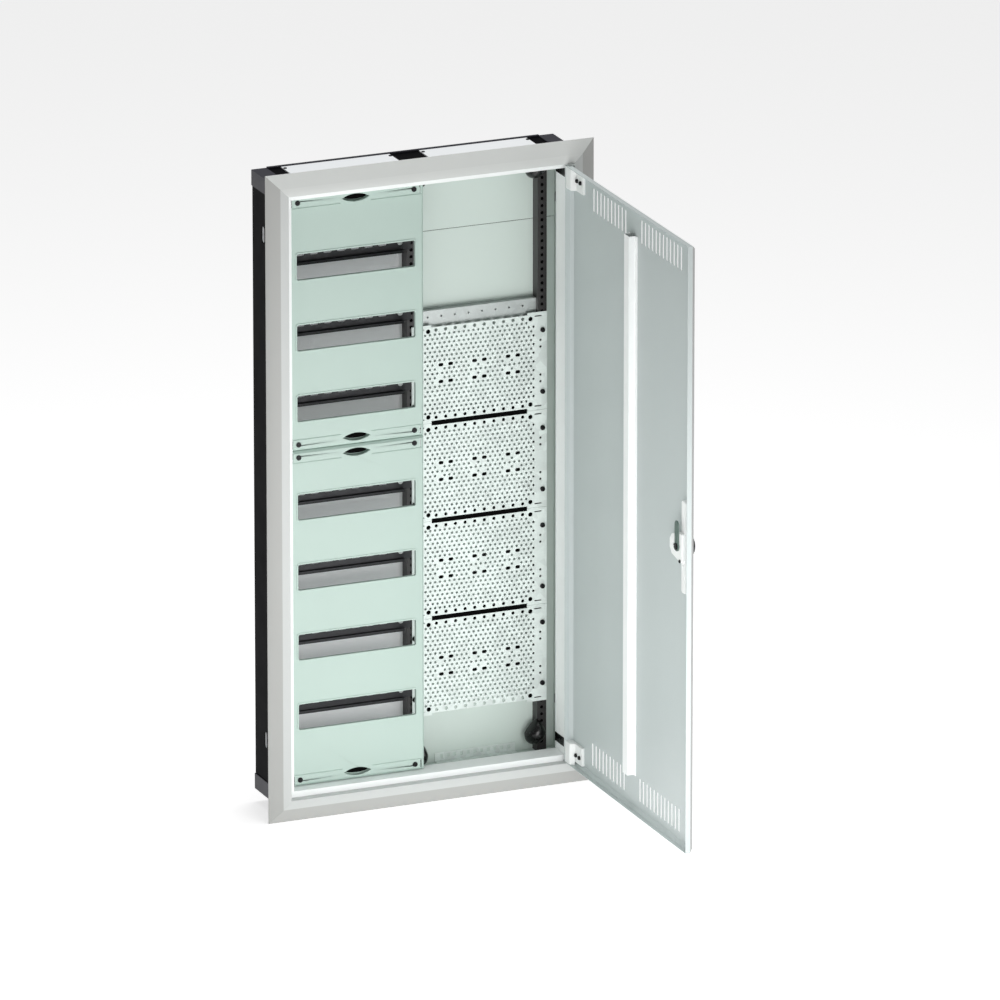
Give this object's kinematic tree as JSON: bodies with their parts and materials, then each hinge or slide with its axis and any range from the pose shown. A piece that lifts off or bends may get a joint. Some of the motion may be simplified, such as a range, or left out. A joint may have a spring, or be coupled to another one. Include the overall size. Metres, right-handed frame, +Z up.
{
  "type": "industrial switchboard cabinet",
  "caption": "Flush-mounted steel distribution cabinet with a hinged vented door, windowed device covers on one side and perforated mounting plates on the other.",
  "frame": {"origin": "centre of the wall box's back face", "axes": "+Z up, +Y into the wall, +X to the right when facing the cabinet; the front faces -Y"},
  "size_m": [0.6, 0.645, 1.15],
  "materials": {
    "tub_paint": "satin",
    "trim_paint": "satin",
    "door_paint": "satin",
    "jamb_white": "satin",
    "lining_paint": "satin",
    "galvanised": "matte",
    "rail_dark": "satin",
    "cover_plastic": "matte",
    "white_plastic": "semi-gloss",
    "black_plastic": "satin",
    "screw_dark": "satin"
  },
  "bodies": {
    "cabinet": {"back_panel_lower": "lining_paint", "back_panel_upper": "lining_paint", "box_corner_caps": "tub_paint", "cable_entry_plates": "galvanised", "cable_tie_strip": "galvanised", "cover_posts": "black_plastic", "cross_rail": "galvanised", "din_rail_1": "galvanised", "din_rail_2": "galvanised", "din_rail_3": "galvanised", "din_rail_4": "galvanised", "din_rail_5": "galvanised", "din_rail_6": "galvanised", "din_rail_7": "galvanised", "din_rail_screws": "screw_dark", "din_rail_seats": "galvanised", "entry_plate_screws": "screw_dark", "floor_panel": "lining_paint", "hinge_jamb_blocks": "black_plastic", "hinge_lugs": "galvanised", "hinge_pins": "galvanised", "jamb_head": "jamb_white", "jamb_left": "jamb_white", "jamb_right": "jamb_white", "jamb_sill": "jamb_white", "masonry_anchors": "galvanised", "mounting_plate_1": "galvanised", "mounting_plate_2": "galvanised", "mounting_plate_3": "galvanised", "mounting_plate_4": "galvanised", "mounting_rail_left": "rail_dark", "mounting_rail_middle": "rail_dark", "mounting_rail_right": "rail_dark", "plate_screws": "screw_dark", "rail_clamps": "black_plastic", "side_panels": "lining_paint", "trim_fixing_blocks": "black_plastic", "trim_frame_bottom": "trim_paint", "trim_frame_left": "trim_paint", "trim_frame_right": "trim_paint", "trim_frame_top": "trim_paint", "wall_box": "tub_paint"},
    "door": {"door_panel": "door_paint", "door_stiffener": "door_paint", "door_hinge_brackets": "white_plastic", "door_bracket_screws": "screw_dark", "lock_case": "white_plastic"},
    "lock": {"lock_knob": "black_plastic", "lock_cam": "galvanised", "lock_cam_screw": "screw_dark"},
    "cover_upper": {"cover_upper": "cover_plastic"},
    "cover_lower": {"cover_lower": "cover_plastic"},
    "cover_lower_fastener_1": {"cover_lower_fastener_1": "screw_dark"},
    "cover_lower_fastener_2": {"cover_lower_fastener_2": "screw_dark"},
    "cover_lower_fastener_3": {"cover_lower_fastener_3": "screw_dark"},
    "cover_lower_fastener_4": {"cover_lower_fastener_4": "screw_dark"},
    "cover_upper_fastener_1": {"cover_upper_fastener_1": "screw_dark"},
    "cover_upper_fastener_2": {"cover_upper_fastener_2": "screw_dark"},
    "cover_upper_fastener_3": {"cover_upper_fastener_3": "screw_dark"},
    "cover_upper_fastener_4": {"cover_upper_fastener_4": "screw_dark"}
  },
  "joints": [
    {"name": "door_swing", "type": "hinge", "parent": "cabinet", "child": "door", "pos_m": [0.254, -0.132, 0], "axis": [0, 0, 1], "range_deg": [-90, 35]},
    {"name": "lock_turn", "type": "hinge", "parent": "door", "child": "lock", "pos_m": [0.254, -0.607, 0], "axis": [1, 0, 0], "range_deg": [0, 90]},
    {"name": "cover_upper_pull", "type": "slide", "parent": "cabinet", "child": "cover_upper", "axis": [0, -1, 0], "range_m": [0, 0.12]},
    {"name": "cover_lower_pull", "type": "slide", "parent": "cabinet", "child": "cover_lower", "axis": [0, -1, 0], "range_m": [0, 0.12]},
    {"name": "cover_upper_fastener_1_turn", "type": "hinge", "parent": "cover_upper", "child": "cover_upper_fastener_1", "pos_m": [-0.231, -0.095, 0.513], "axis": [0, 1, 0], "range_deg": [0, 90]},
    {"name": "cover_upper_fastener_2_turn", "type": "hinge", "parent": "cover_upper", "child": "cover_upper_fastener_2", "pos_m": [-0.019, -0.095, 0.513], "axis": [0, 1, 0], "range_deg": [0, 90]},
    {"name": "cover_upper_fastener_3_turn", "type": "hinge", "parent": "cover_upper", "child": "cover_upper_fastener_3", "pos_m": [-0.231, -0.095, 0.0865], "axis": [0, 1, 0], "range_deg": [0, 90]},
    {"name": "cover_upper_fastener_4_turn", "type": "hinge", "parent": "cover_upper", "child": "cover_upper_fastener_4", "pos_m": [-0.019, -0.095, 0.0865], "axis": [0, 1, 0], "range_deg": [0, 90]},
    {"name": "cover_lower_fastener_1_turn", "type": "hinge", "parent": "cover_lower", "child": "cover_lower_fastener_1", "pos_m": [-0.231, -0.095, 0.0635], "axis": [0, 1, 0], "range_deg": [0, 90]},
    {"name": "cover_lower_fastener_2_turn", "type": "hinge", "parent": "cover_lower", "child": "cover_lower_fastener_2", "pos_m": [-0.019, -0.095, 0.0635], "axis": [0, 1, 0], "range_deg": [0, 90]},
    {"name": "cover_lower_fastener_3_turn", "type": "hinge", "parent": "cover_lower", "child": "cover_lower_fastener_3", "pos_m": [-0.231, -0.095, -0.513], "axis": [0, 1, 0], "range_deg": [0, 90]},
    {"name": "cover_lower_fastener_4_turn", "type": "hinge", "parent": "cover_lower", "child": "cover_lower_fastener_4", "pos_m": [-0.019, -0.095, -0.513], "axis": [0, 1, 0], "range_deg": [0, 90]}
  ]
}
